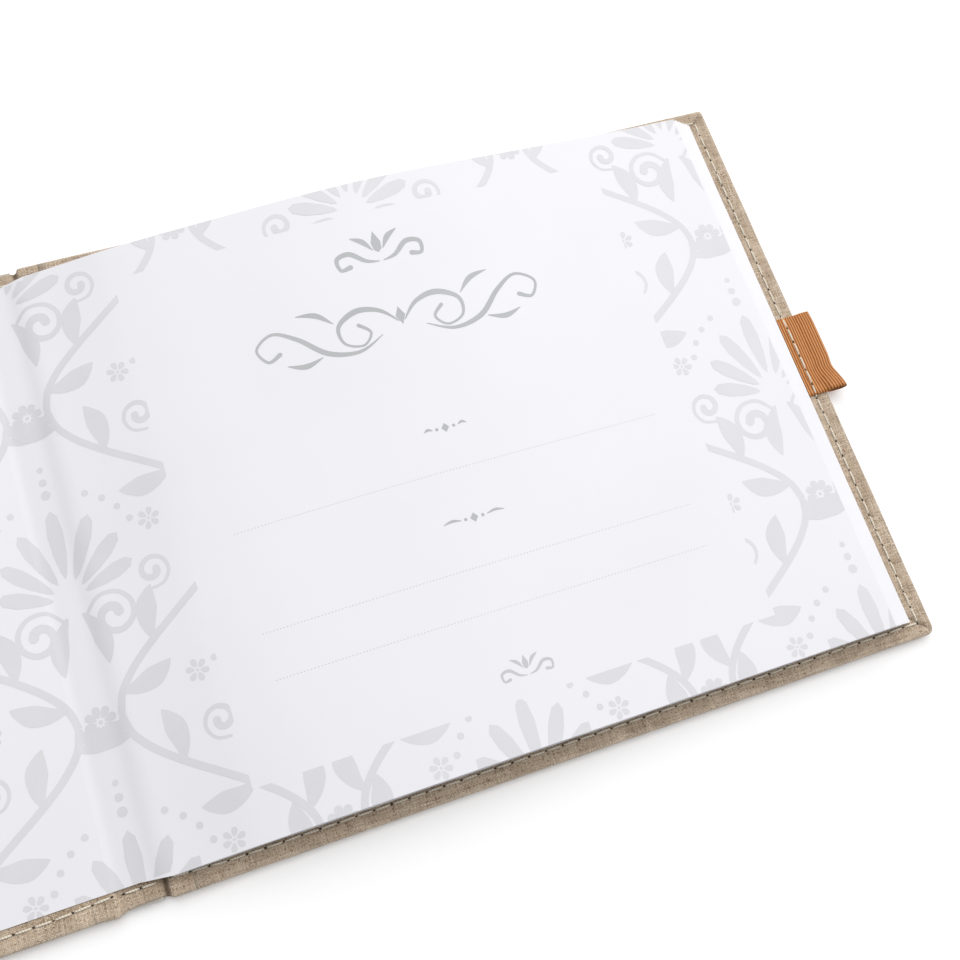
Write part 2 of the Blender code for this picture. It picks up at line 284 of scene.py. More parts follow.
def ink_material(name, low, high):
    """Pale silver ink, which lies a little unevenly."""
    nodes = Nodes(name)
    place = nodes.add("TexCoord").outputs["Object"]
    clouds = nodes.noise(place, 60.0, 3.0)
    grain = nodes.noise(place, 1900.0, 2.0)
    tone = nodes.math("MULTIPLY_ADD", grain, 0.25, nodes.times(clouds, 0.8))
    colour = nodes.ramp(tone, (0.3, low), (0.72, high))
    nodes.bump(grain, 0.1, 0.00002)
    return nodes.finish(colour, nodes.math("MULTIPLY_ADD", clouds, 0.15, 0.38))


def thread_material():
    """Cream cotton thread of two plies, with a fuzzy twist and painted shade in the grooves between the
    plies.
    """
    nodes = Nodes("thread_look")
    along, around, _ = nodes.surface()
    twist = nodes.math("SINE", nodes.math("ADD", nodes.times(along, 9.0), around))
    fuzz = nodes.noise(nodes.vector(along, around), 5.0, 3.0)
    # painted shade in the grooves of the twist, where the bump is low
    colour = nodes.ramp(twist, (0.1, (0.74, 0.66, 0.52)), (0.6, (0.95, 0.92, 0.83)))
    colour = nodes.shade(0.5, colour, fuzz, (0.3, (0.82, 0.78, 0.70)), (0.7, WHITE))
    nodes.bump(twist, 0.5, 0.00006)
    nodes.shader.inputs["Sheen Weight"].default_value = 0.2
    return nodes.finish(colour, nodes.math("MULTIPLY_ADD", fuzz, 0.2, 0.6))


def hole_material():
    """The shade inside a needle hole."""
    nodes = Nodes("needle_hole_look")
    place = nodes.add("TexCoord").outputs["Object"]
    grain = nodes.noise(place, 3000.0, 2.0)
    return nodes.finish(nodes.ramp(grain, (0.3, (0.018, 0.013, 0.010)), (0.7, (0.06, 0.045, 0.034))), 0.95)


def ribbon_material():
    """Tan grosgrain, with painted highlights over the ribs and painted shade in the grooves."""
    nodes = Nodes("ribbon_look")
    rib, across, _ = nodes.surface()
    yarn = nodes.math("SINE", nodes.times(across, 14.0))
    streaks = nodes.noise(nodes.vector(nodes.times(rib, 0.3), nodes.times(across, 3.0)), 1.6, 3.0)
    rib_relief_and_painted_light = nodes.math("SINE", nodes.times(rib, 2 * math.pi / RIB_PITCH))
    # painted highlight on the rib ridges and painted shade in the grooves between them
    colour = nodes.ramp(rib_relief_and_painted_light, (0.0, (0.35, 0.115, 0.02)), (0.5, (0.66, 0.255, 0.06)),
                        (1.0, (0.77, 0.33, 0.095)))
    colour = nodes.shade(0.6, colour, streaks, (0.3, (0.74, 0.70, 0.64)), (0.7, WHITE))
    nodes.bump(nodes.math("MULTIPLY_ADD", yarn, 0.3, rib_relief_and_painted_light), 0.35, 0.00008)
    nodes.shader.inputs["Sheen Weight"].default_value = 0.15
    nodes.shader.inputs["Sheen Tint"].default_value = (1.0, 0.75, 0.5, 1.0)
    return nodes.finish(colour, nodes.math("MULTIPLY_ADD", streaks, 0.2, 0.42))


def fibre_material(name, low, high):
    """Matt board or yarn, with its fibres showing."""
    nodes = Nodes(name)
    place = nodes.add("TexCoord").outputs["Object"]
    pulp = nodes.noise(place, 700.0, 4.0, 0.7)
    nodes.bump(pulp, 0.4, 0.00008)
    return nodes.finish(nodes.ramp(pulp, (0.3, low), (0.7, high)),
                        nodes.math("MULTIPLY_ADD", pulp, 0.1, 0.88))


def gauze_material():
    """The open gauze that lines the spine."""
    nodes = Nodes("mull_look")
    place = nodes.add("TexCoord").outputs["Object"]
    split = nodes.add("SeparateXYZ")
    nodes.link(place, split.inputs[0])
    height, tone = weave(nodes, nodes.times(split.outputs[0], 1000.0),
                         nodes.times(split.outputs[1], 1000.0), 0.9)
    # painted shade between the threads, darker where the weave sinks
    colour = nodes.ramp(nodes.math("MULTIPLY_ADD", tone, 0.4, height), (0.1, (0.34, 0.31, 0.26)),
                        (0.8, (0.78, 0.75, 0.68)))
    nodes.bump(height, 0.6, 0.0001)
    return nodes.finish(colour, nodes.math("MULTIPLY_ADD", tone, 0.1, 0.85))


# ---------------------------------------------------------------- mesh helpers

class Sheet:
    """Collects points, faces and surface coordinates, all in millimetres, and makes one mesh object."""

    def __init__(self):
        self.points, self.surface, self.faces, self.slots = [], [], [], []

    def add(self, point, surface=(0.0, 0.0, 0.0)):
        self.points.append(point)
        self.surface.append(surface)
        return len(self.points) - 1

    def face(self, corners, slot=0):
        self.faces.append(corners)
        self.slots.append(slot)

    def grid(self, rows):
        """Quads between rows of point numbers, each row as long as the next."""
        for lower, upper in zip(rows, rows[1:]):
            for i in range(len(lower) - 1):
                self.face((lower[i], lower[i + 1], upper[i + 1], upper[i]))

    def make(self, name, materials, merge=0.0):
        mesh = bpy.data.meshes.new(name)
        mesh.from_pydata([[c * MM for c in p] for p in self.points], [], self.faces)
        attribute = mesh.attributes.new("surface", "FLOAT_VECTOR", "POINT")
        for item, value in zip(attribute.data, self.surface):
            item.vector = value
        for material in materials:
            mesh.materials.append(material)
        for polygon, slot in zip(mesh.polygons, self.slots):
            polygon.material_index = slot
        if merge:
            bm = bmesh.new()
            bm.from_mesh(mesh)
            bmesh.ops.remove_doubles(bm, verts=bm.verts, dist=merge * MM)
            bm.to_mesh(mesh)
            bm.free()
        mesh.shade_smooth()
        thing = bpy.data.objects.new(name, mesh)
        bpy.context.scene.collection.objects.link(thing)
        return thing


def tube(sheet, path, radii, sides, slot=0):
    """A closed tube along a path, with its own length and turn as surface coordinates."""
    rings, length = [], 0.0
    for i, (centre, radius) in enumerate(zip(path, radii)):
        ahead = path[min(i + 1, len(path) - 1)] - path[max(i - 1, 0)]
        ahead.normalize()
        aside = ahead.cross(Vector((0, 0, 1))).normalized()
        upward = aside.cross(ahead)
        if i:
            length += (centre - path[i - 1]).length
        ring = []
        for k in range(sides):
            angle = 2 * math.pi * k / sides
            point = centre + radius * (math.cos(angle) * aside + math.sin(angle) * upward)
            ring.append(sheet.add(point, (length, angle, 0.0)))
        rings.append(ring)
    for lower, upper in zip(rings, rings[1:]):
        for k in range(sides):
            after = (k + 1) % sides
            sheet.face((lower[k], upper[k], upper[after], lower[after]), slot)
    sheet.face(tuple(rings[0]), slot)
    sheet.face(tuple(reversed(rings[-1])), slot)


def agree_normals(mesh):
    """Turns all the faces of a mesh the same way."""
    bm = bmesh.new()
    bm.from_mesh(mesh)
    bmesh.ops.recalc_face_normals(bm, faces=bm.faces)
    bm.to_mesh(mesh)
    bm.free()


def face_outward(thing):
    """Turns all the faces the same way, with the underside facing down."""
    agree_normals(thing.data)
    under = [p.normal.z for p in thing.data.polygons if p.center.z < (UNDERSIDE + 0.01) * MM]
    if sum(under) > 0:
        thing.data.flip_normals()
    return thing


def thicken(thing, thickness, offset=-1.0):
    modifier = thing.modifiers.new("Thickness", "SOLIDIFY")
    modifier.thickness = thickness * MM
    modifier.offset = offset
    return thing


# ---------------------------------------------------------------- linen

def wrap_profile():
    """The cloth's way round an edge to the turn-in: (inset, height, length along the cloth)."""
    low_round, top_round = 0.9, 0.75
    places = [(TURN_IN, UNDERSIDE), (9.0, UNDERSIDE), (4.9, UNDERSIDE), (4.0, UNDERSIDE + 0.08),
              (3.1, UNDERSIDE)]
    places += [(1.8, UNDERSIDE)]
    for i in range(6):
        angle = math.pi / 2 * i / 5
        places.append((low_round * (1 - math.sin(angle)), UNDERSIDE + low_round * (1 - math.cos(angle))))
    for i in range(6):
        angle = math.pi / 2 * i / 5
        places.append((top_round * (1 - math.cos(angle)), COVER_TOP - top_round * (1 - math.sin(angle))))
    places += [(1.6, COVER_TOP + 0.02), (2.6, COVER_TOP), (3.4, COVER_TOP - 0.06), (4.0, COVER_TOP - 0.14),
               (4.6, COVER_TOP - 0.06), (5.4, COVER_TOP), (8.0, COVER_TOP), (11.5, COVER_TOP),
               (TURN_IN, COVER_TOP)]
    profile, length = [], -TURN_IN
    for i, (inset, height) in enumerate(places):
        if i:
            length += math.dist(places[i - 1], (inset, height))
        profile.append((inset, height, length))
    return profile


PROFILE = wrap_profile()
FIRST_TOP_RING = next(i for i, (_, height, _) in enumerate(PROFILE) if height > COVER_TOP - 0.01)


def edge_wear(height, inset):
    """How pale the cloth is rubbed, most on the rounded edges."""
    near_edge = max(0.0, 1 - inset / 1.2)
    return 0.22 * near_edge


def cover_path(joint_x, fore_x, corner_radii):
    """Stations round a cover's three free edges, as (place, outward direction, corner turn), tail to head."""
    side = math.copysign(1, fore_x - joint_x)
    stations = []
    for end in (-1, 1):
        radius = corner_radii[0] if end < 0 else corner_radii[1]
        straight = abs(fore_x - joint_x) - TURN_IN
        count = round(straight / EDGE_STEP)
        run = [("straight", joint_x + side * straight * i / count, end) for i in range(count)]
        corner = [("corner", i / 10, end, radius) for i in range(11)]
        part = run + corner
        stations += part if end < 0 else part[::-1]
        if end < 0:
            length = 2 * (COVER_HALF - TURN_IN)
            count = round(length / EDGE_STEP)
            stations += [("fore", -length / 2 + length * i / count) for i in range(1, count)]
    return stations


def ring_place(station, fore_x, side, inset):
    """Where the ring at this inset crosses a station."""
    if station[0] == "straight":
        return station[1], station[2] * (COVER_HALF - inset)
    if station[0] == "fore":
        return fore_x - side * inset, station[1]
    _, turn, end, radius = station
    keep = max(radius, inset)  # the corner's centre, inwards from both edges
    reach = TURN_IN - keep
    part = turn * 2 - 1  # from -1 on the head or tail side to 1 on the fore edge side
    bend = 0.45  # the share of the corner's stations that turn round its arc
    if part < -bend:
        along = (part + bend) / (1 - bend)
        return fore_x - side * (keep - along * reach), end * (COVER_HALF - inset)
    if part > bend:
        along = (part - bend) / (1 - bend)
        return fore_x - side * inset, end * (COVER_HALF - keep - along * reach)
    angle = math.pi / 4 * (1 + part / bend)
    round_ = keep - inset
    x = fore_x - side * (keep - round_ * math.sin(angle))
    return x, end * (COVER_HALF - keep + round_ * math.cos(angle))


def cloth_coordinates(x, y, length, station, fore_x, side):
    """Coordinates on the flat cloth, continuous over the cover's edges."""
    on_fore = station[0] == "fore" or (station[0] == "corner" and station[1] > 0.5)
    if on_fore:
        return fore_x + side * length, y
    end = math.copysign(1, y)
    return x, end * (COVER_HALF + length)


def cover_linen(name, joint_x, fore_x, corner_radii, seed):
    """The cloth of one cover, from under the board round its edges and in over its top."""
    side = math.copysign(1, fore_x - joint_x)
    stations = cover_path(joint_x, fore_x, corner_radii)
    sheet = Sheet()
    rows = []
    for number, (inset, height, length) in enumerate(PROFILE):
        row = []
        for station in stations:
            x, y = ring_place(station, fore_x, side, inset)
            z = height
            if number >= FIRST_TOP_RING and station[0] == "corner":
                z += mitre_step(station, inset)
            sway = wobble(x + 31, y, seed, 0.10) if 0.2 < height < COVER_TOP - 0.05 else 0.0
            if station[0] == "fore":
                x += side * sway
            else:
                y += math.copysign(sway, y)
            z += wobble(x, y, seed + 5, 0.07) if number >= FIRST_TOP_RING else 0.0
            u, v = cloth_coordinates(x, y, length, station, fore_x, side)
            row.append(sheet.add((x, y, z), (u, v, edge_wear(height, inset))))
        rows.append(row)
    sheet.grid(rows)
    fill_underside(sheet, rows[0], stations)
    return thicken(face_outward(sheet.make(name, [LINEN], merge=0.001)), CLOTH)


def mitre_step(station, inset):
    """Height of the folded corner: the fore-edge turn-in laps over the other with a raised lip."""
    _, turn, _, radius = station
    part = turn * 2 - 1
    fade = smooth((inset - 0.8) / 1.4)
    if part < 0:
        return -0.30 * fade * max(0.0, 1 + part * 3)
    if part < 0.2:
        return -0.16 * fade
    return 0.16 * fade * max(0.0, 1 - (part - 0.2) * 1.6)


def fill_underside(sheet, ring, stations):
    """The flat cloth under the board, inside the first ring."""
    straight = sum(1 for station in stations if station[0] == "straight") // 2
    tail, head = ring[:straight], ring[::-1][:straight]
    steps = 30
    columns = []
    for low, high in zip(tail, head):
        (x, low_y, _), high_y = sheet.points[low], sheet.points[high][1]
        column = [low]
        for k in range(1, steps):
            y = low_y + (high_y - low_y) * k / steps
            column.append(sheet.add((x, y, UNDERSIDE), (x, y, 0.0)))
        columns.append(column + [high])
    if sheet.points[tail[0]][0] < sheet.points[tail[-1]][0]:
        sheet.grid(columns[::-1])
        sheet.face((*columns[-1][::-1], *ring[straight:-straight]))
    else:
        sheet.grid(columns)
        sheet.face((*columns[-1], *ring[straight:-straight][::-1]))


# Height and reach of the cloth over the spine, from the front board's end to the back board's start
SPINE_EDGE = [
    # x, how far the cloth's edge stands in from the covers' edge, height of its top
    (FRONT_INNER - 4.0, 0.0, COVER_TOP),
    (FRONT_INNER - 1.6, -0.25, COVER_TOP),
    (FRONT_INNER - 0.2, -0.45, COVER_TOP - 0.05),
    (FRONT_INNER + 0.9, 0.15, COVER_TOP - 0.65),
    (FRONT_INNER + 2.0, 0.55, COVER_TOP - 0.55),
    (FRONT_INNER + 4.5, 0.85, COVER_TOP - 0.35),
    (BACK_INNER - 3.2, 0.95, COVER_TOP - 0.4),
    (BACK_INNER - 2.3, 0.9, COVER_TOP - 0.7),
    (BACK_INNER - 1.4, 0.75, COVER_TOP - 1.6),
    (BACK_INNER - 0.8, 0.5, COVER_TOP - 1.4),
    (BACK_INNER - 0.1, 0.05, COVER_TOP - 0.12),
    (BACK_INNER + 0.5, 0.0, COVER_TOP),
]


def between(table, x, column):
    """Smooth value of a column of a table at x."""
    if x <= table[0][0]:
        return table[0][column]
    for low, high in zip(table, table[1:]):
        if x <= high[0]:
            share = smooth((x - low[0]) / (high[0] - low[0]))
            return low[column] + (high[column] - low[column]) * share
    return table[-1][column]


def joint_linen(name, start_x, end_x, seed):
    """A strip of the cloth that runs from a cover to the middle of the spine, closed round head and tail."""
    sheet = Sheet()
    steps = 26
    rows = []
    for i in range(steps + 1):
        x = start_x + (end_x - start_x) * i / steps
        inward, top = between(SPINE_EDGE, x, 1), between(SPINE_EDGE, x, 2)
        # painted shade that deepens as the cloth sinks into the hinge groove
        groove_shade_amount = -0.75 * smooth((COVER_TOP - 0.75 - top) / 0.7)
        fall = COVER_TOP - top
        row = []
        for end in (-1, 1):
            part = []
            for number, (inset, height, length) in enumerate(PROFILE):
                share = smooth((height - UNDERSIDE) / (COVER_TOP - UNDERSIDE))
                near = 1 - smooth((inset - 9.0) / 6.0) if number >= FIRST_TOP_RING else 1.0
                z = height - fall * share * (0.4 + 0.6 * near if fall > 0.6 else 1.0)
                y = end * (COVER_HALF - inset - inward * max(0.0, 1 - inset / 12))
                z += wobble(x, y, seed + 5, 0.05) if number >= FIRST_TOP_RING else 0.0
                # painted groove shade on the cloth's upper side where it dips, else the rubbed wear of its
                # edges
                shade = groove_shade_amount * smooth((height - 1.4) / 0.8) or edge_wear(height, inset)
                part.append(((x, y, z), (x, end * (COVER_HALF + length), shade)))
            row += part[::-1] if end < 0 else middle_span(x) + part
        rows.append([sheet.add(*item) for item in row])
    sheet.grid(rows if start_x > end_x else rows[::-1])
    return thicken(face_outward(sheet.make(name, [LINEN])), CLOTH)


def middle_span(x):
    """The underside between the two wrapped ends of a strip."""
    inner = COVER_HALF - PROFILE[0][0]
    count = 30
    places = [-inner + 2 * inner * k / count for k in range(1, count)]
    return [((x, y, UNDERSIDE), (x, y, 0.0)) for y in places]


# ---------------------------------------------------------------- stitches

def stitch_line(path, pitch):
    """Equal stitches along a path: pairs of end points."""
    lengths = [0.0]
    for a, b in zip(path, path[1:]):
        lengths.append(lengths[-1] + (b - a).length)
    count = round(lengths[-1] / pitch)

    def at(distance):
        for k, (a, b) in enumerate(zip(path, path[1:])):
            if distance <= lengths[k + 1] or k == len(path) - 2:
                return a.lerp(b, (distance - lengths[k]) / (lengths[k + 1] - lengths[k]))

    places = [at(lengths[-1] * i / count) for i in range(count + 1)]
    return list(zip(places, places[1:]))


def add_stitch(sheet, start, end, number, facing=1):
    """One stitch, sunk at both needle holes and proud between them, and the hole it starts from."""
    steps = 8
    ahead = (end - start).normalized()
    aside = Vector((-ahead.y, ahead.x, 0))
    slack = 0.10 * math.sin(number * 2.4)
    path, radii = [], []
    for i in range(steps + 1):
        t = 0.06 + 0.88 * i / steps
        rise = math.sin(math.pi * i / steps) ** 0.6
        centre = start.lerp(end, t) + aside * slack * (t - 0.5)
        path.append(centre + Vector((0, 0, facing * (-0.14 + 0.34 * rise))))
        radii.append(0.16 + 0.12 * rise)
    if facing < 0:
        path = [p + Vector((0, 0, 0.05)) for p in path]
        radii = [r * 0.6 for r in radii]
    tube(sheet, path, radii, 7)
    add_hole(sheet, start, ahead, facing, 0.30 + 0.06 * math.sin(number * 1.7))


def add_hole(sheet, place, ahead, facing, size):
    """A small flat disc of painted shade where the needle went in."""
    aside = Vector((-ahead.y, ahead.x, 0))
    sides = 8
    lift = Vector((0, 0, facing * 0.035))
    rim = []
    for k in range(sides):
        angle = 2 * math.pi * k / sides
        offset = ahead * (1.55 * size * math.cos(angle)) + aside * (size * 0.8 * math.sin(angle))
        rim.append(sheet.add(place + offset + lift))
    sheet.face(tuple(rim if facing > 0 else rim[::-1]), 1)


def cover_stitches(name, axis_x, fore_x, over_ribbon):
    """The machine stitching round a cover, seen on both of its faces."""
    side = math.copysign(1, fore_x - axis_x)
    line_x = fore_x - side * STITCH_X
    top = COVER_TOP - 0.08
    start_x = axis_x + side * 1.4

    def line(height, bump):
        rise = []
        if bump:
            half, raised = RIBBON_HALF, RIBBON_TOP + 0.18
            rise = [Vector((line_x, y, z)) for y, z in
                    ((-half - 0.9, height), (-half + 0.3, raised), (half - 0.3, raised),
                     (half + 0.9, height))]
        near, turn_x = STITCH_HALF - 0.8, start_x + side * 14.0
        return [Vector((start_x, -near, height)), Vector((turn_x, -STITCH_HALF, height)),
                Vector((line_x, -STITCH_HALF, height)), *rise, Vector((line_x, STITCH_HALF, height)),
                Vector((turn_x, STITCH_HALF, height)), Vector((start_x, near, height))]

    sheet = Sheet()
    for height, facing, bump in ((top, 1, over_ribbon), (UNDERSIDE + 0.06, -1, False)):
        path = line(height, bump)
        number = 0
        for part in split_at_corners(path):
            for start, end in stitch_line(part, STITCH_PITCH):
                add_stitch(sheet, start, end, number, facing)
                number += 1
    return sheet.make(name, [THREAD, HOLE])


def split_at_corners(path):
    """The path as its tail, fore-edge and head runs."""
    corners = [2, len(path) - 3]
    return [path[:corners[0] + 1], path[corners[0]:corners[1] + 1], path[corners[1]:]]


def spine_stitches(name, y):
    """The few stitches that cross the spine's turned-in tongue."""
    sheet = Sheet()
    places = [FRONT_AXIS + 1.4 + (BACK_AXIS - FRONT_AXIS - 3.4) * i / 2 for i in range(3)]
    for number, (a, b) in enumerate(zip(places, places[1:])):
        z = between(SPINE_EDGE, (a + b) / 2, 2) + 0.05
        add_stitch(sheet, Vector((a, y, z)), Vector((b, y, z)), number)
        add_stitch(sheet, Vector((a, y, UNDERSIDE + 0.06)), Vector((b, y, UNDERSIDE + 0.06)), number, -1)
    return sheet.make(name, [THREAD, HOLE])


# ---------------------------------------------------------------- ribbon

RIBBON_HALF = 12.7
RIBBON = 0.2
RIB_PITCH = 0.78
TAB_LOW, TAB_HIGH = box_mm("ribbon_tab")
LOOP_LOW, LOOP_HIGH = box_mm("ribbon_loop")
RIBBON_TOP = TAB_HIGH.z


def ribbon_outline(y):
    """The ribbon's line in x and z at one place along the fore edge: out over the edge, round and back."""
    flare = smooth((-y - 5.5) / 7.2)
    pinch = math.exp(-((y + 5.0) / 1.9) ** 2)
    outer = LOOP_HIGH.x - 0.3 - 0.35 * pinch + 1.35 * flare - 0.25 * smooth((y - 9) / 4)
    middle = (LOOP_LOW.z + LOOP_HIGH.z) / 2 + 0.15 * flare
    half = 0.62 + 0.75 * flare
    top, bottom = middle + half, middle - half
    inner = TAB_LOW.x + 0.1
    over = [(inner, RIBBON_TOP - 0.1), (BACK_FORE - 3.0, RIBBON_TOP - 0.08),
            (BACK_FORE - 0.6, RIBBON_TOP - 0.1),
            (BACK_FORE + 0.9, top - 0.1), (BACK_FORE + 2.4, top + 0.05), (outer - half, top)]
    turn = [(outer - half + half * math.sin(a), middle + half * math.cos(a))
            for a in (math.pi * k / 6 for k in range(1, 6))]
    back = [(outer - half, bottom), (BACK_FORE + 2.2, bottom - 0.02), (BACK_FORE + 0.9, bottom + 0.25),
            (BACK_FORE - 0.5, TAB_LOW.z + 0.12), (BACK_FORE - 3.0, TAB_LOW.z + 0.1),
            (inner, TAB_LOW.z + 0.1)]
    return over + turn + back


def resample(points, step):
    """Even steps along a smooth curve through the points, with each one's distance."""
    fine = catmull([Vector((x, z)) for x, z in points], 12)
    lengths = [0.0]
    for a, b in zip(fine, fine[1:]):
        lengths.append(lengths[-1] + (b - a).length)
    count = max(2, round(lengths[-1] / step))
    result, k = [], 0
    for i in range(count + 1):
        distance = lengths[-1] * i / count
        while k < len(fine) - 2 and lengths[k + 1] < distance:
            k += 1
        share = (distance - lengths[k]) / max(1e-9, lengths[k + 1] - lengths[k])
        result.append((fine[k].lerp(fine[k + 1], share), distance))
    return result


def catmull(points, steps):
    """A smooth curve through points."""
    result = []
    last = len(points) - 1
    for i in range(last):
        before, a, b, after = points[max(i - 1, 0)], points[i], points[i + 1], points[min(i + 2, last)]
        for k in range(steps):
            t = k / steps
            result.append(0.5 * (2 * a + (b - before) * t + (2 * before - 5 * a + 4 * b - after) * t * t
                                 + (3 * a - before - 3 * b + after) * t ** 3))
    result.append(points[-1])
    return result


def ribbon(name):
    """One length of grosgrain, folded into a loop, with its ribs as real ridges."""
    rib_steps = 7
    sheet = Sheet()
    ends = 24
    total = resample(ribbon_outline(0.0), RIB_PITCH / rib_steps)
    count = len(total)
    rows = []
    for j in range(ends + 1):
        y = -RIBBON_HALF + 2 * RIBBON_HALF * j / ends
        line = resample(ribbon_outline(y), RIB_PITCH / rib_steps)
        row = []
        for i in range(count):
            place, _ = line[round(i * (len(line) - 1) / (count - 1))]
            ahead = line[min(round(i * (len(line) - 1) / (count - 1)) + 1, len(line) - 1)][0]
            behind = line[max(round(i * (len(line) - 1) / (count - 1)) - 1, 0)][0]
            tangent = (ahead - behind).normalized()
            outward = Vector((-tangent.y, tangent.x))
            along = total[i][1]
            ridge = 0.085 * math.sin(2 * math.pi * along / RIB_PITCH)
            spot = place + outward * ridge
            row.append(sheet.add((spot.x, y, spot.y), (along, y, 0.0)))
        rows.append(row)
    sheet.grid(rows)
    thing = sheet.make(name, [RIBBON_LOOK])
    return thicken(thing, RIBBON * 0.8, 0.0), total[-1][1]


# ---------------------------------------------------------------- leaves

def along_curve(table, x):
    """Height at x on a smooth curve through a table's (place, height) points."""
    last = len(table) - 1
    k = 0
    while k < last - 1 and x > table[k + 1][0]:
        k += 1

    def slope(i):
        before, after = table[max(i - 1, 0)], table[min(i + 1, last)]
        return (after[1] - before[1]) / (after[0] - before[0])

    (x0, z0), (x1, z1) = table[k], table[k + 1]
    t = min(1.0, max(0.0, (x - x0) / (x1 - x0)))
    span = x1 - x0
    return (z0 * (1 + 2 * t) * (1 - t) ** 2 + z1 * t * t * (3 - 2 * t)
            + span * t * (1 - t) * (slope(k) * (1 - t) - slope(k + 1) * t))


# Top of the title leaf along its head and its tail, which arch differently, as (place, height)
HEAD_CURVE = [(PAGE_START, 5.93), (12.0, 6.9), (20.0, 8.3), (28.0, 9.7), (42.0, 11.3), (60.0, 12.8),
              (80.0, 14.4),
              (98.0, 15.2), (116.0, 14.9), (138.0, 13.4), (162.0, 11.6), (184.0, 10.1), (TITLE_END, 9.3)]
TAIL_CURVE = [(PAGE_START, 5.93), (12.0, 6.9), (20.0, 8.3), (28.0, 9.7), (42.0, 11.2), (60.0, 12.1),
              (80.0, 12.3),
              (98.0, 11.9), (116.0, 11.2), (138.0, 10.5), (162.0, 9.9), (184.0, 9.5), (TITLE_END, 9.15)]


def sections_top(x):
    """The rise of the sewn sections out of the gutter."""
    return SECTIONS_LOW + SECTIONS_HEIGHT * gutter_share(x)


def gutter_share(x):
    return 0.3 + 0.7 * smooth((x - PAGE_START) / 42.0)


def title_top(x, y):
    share = smooth((y / PAGE_HALF + 1) / 2)
    return along_curve(HEAD_CURVE, x) * share + along_curve(TAIL_CURVE, x) * (1 - share)


def title_under(x, y):
    return title_top(x, y) - PAPER


def guest_under(x, y):
    """The leaf below lifts less than half as far off the sections as the title leaf."""
    flat = sections_top(x)
    return flat + 0.12 + 0.4 * max(0.0, title_under(x, y) - flat - 0.5)


def guest_top(x, y):
    return guest_under(x, y) + PAPER


def page_stations(start, end):
    """Places along a page, closer together where it curves."""
    curved = [start + 2.0 * i for i in range(int(GUTTER_LENGTH / 2.0) + 1)]
    count = round((end - curved[-1]) / 4.0)
    return curved + [curved[-1] + (end - curved[-1]) * i / count for i in range(1, count + 1)]


def add_leaf(sheet, xs, under, top, half, uneven=0.0, seed=0.0, end_half=None):
    """A leaf as a thin closed body between two surfaces, with slightly uneven cut edges."""
    columns = 12
    uppers, lowers = [], []
    for x in xs:
        share = (x - xs[0]) / (xs[-1] - xs[0])
        reach = half + ((end_half or half) - half) * share
        ys = [-reach + 2 * reach * k / columns for k in range(columns + 1)]
        upper, lower = [], []
        for y in ys:
            shift = wobble(x, y, seed, uneven)
            x_here = x + shift * (x == xs[-1])
            y_here = y + shift * (abs(y) == reach)
            upper.append(sheet.add((x_here, y_here, top(x, y))))
            lower.append(sheet.add((x_here, y_here, under(x, y))))
        uppers.append(upper)
        lowers.append(lower)
    sheet.grid(uppers)
    sheet.grid([row[::-1] for row in lowers])
    sheet.grid([[row[0] for row in lowers], [row[0] for row in uppers]][::-1])
    sheet.grid([[row[-1] for row in lowers], [row[-1] for row in uppers]])
    sheet.grid([uppers[0], lowers[0]])
    sheet.grid([lowers[-1], uppers[-1]])


def finish_leaf(sheet, name, material):
    thing = sheet.make(name, [material])
    agree_normals(thing.data)
    thing.data.set_sharp_from_angle(angle=math.radians(50))
    return thing


def leaf_object(name, xs, under, top, half, material, uneven=0.0, seed=0.0, end_half=None):
    sheet = Sheet()
    add_leaf(sheet, xs, under, top, half, uneven, seed, end_half)
    return finish_leaf(sheet, name, material)


def section_leaves(name, number):
    """The leaves of one folded section, each cut a little further back than the one below."""
    fore = box_mm(SECTION_NAMES[number])[1].x
    low = number * 0.95
    sheet = Sheet()
    for k in range(LEAVES_IN_SECTION):
        level = low + 0.2 * k

        def under(x, y, level=level):
            return SECTIONS_LOW + level * gutter_share(x)

        def top(x, y, level=level):
            return SECTIONS_LOW + (level + 0.17) * gutter_share(x)

        add_leaf(sheet, page_stations(PAGE_START, fore - 0.18 * k), under, top, PAGE_HALF, 0.2,
                 number * 7.0 + k)
    return finish_leaf(sheet, name, PAGE_PAPER)


# ---------------------------------------------------------------- endpaper over the gutter

# Top of the endpaper from the front board's end to the title leaf, as (place, height)
GUTTER_CURVE = [(CREASE - 3.0, PASTEDOWN_TOP), (CREASE, PASTEDOWN_TOP),
                (CREASE + 2.0, PASTEDOWN_TOP - 0.05),
                (CREASE + 5.0, PASTEDOWN_TOP + 0.35), (BACK_AXIS - 3.4, 4.4), (BACK_AXIS, 5.45),
                (PAGE_START, 5.93),
                (12.0, 6.9)]


def gutter_height(x, y=0.0):
    return along_curve(GUTTER_CURVE, x)


def strip_stations(start, end):
    count = round(abs(end - start) / 0.7)
    return [start + (end - start) * i / count for i in range(count + 1)]


def endpaper_strip(name, start, end, end_half):
    """A strip of the endpaper across one of the spine's hinges."""
    return leaf_object(name, strip_stations(start, end), lambda x, y: gutter_height(x) - 0.16,
                       gutter_height,
                       PASTEDOWN_HALF, ENDPAPER, end_half=end_half)


# ---------------------------------------------------------------- print

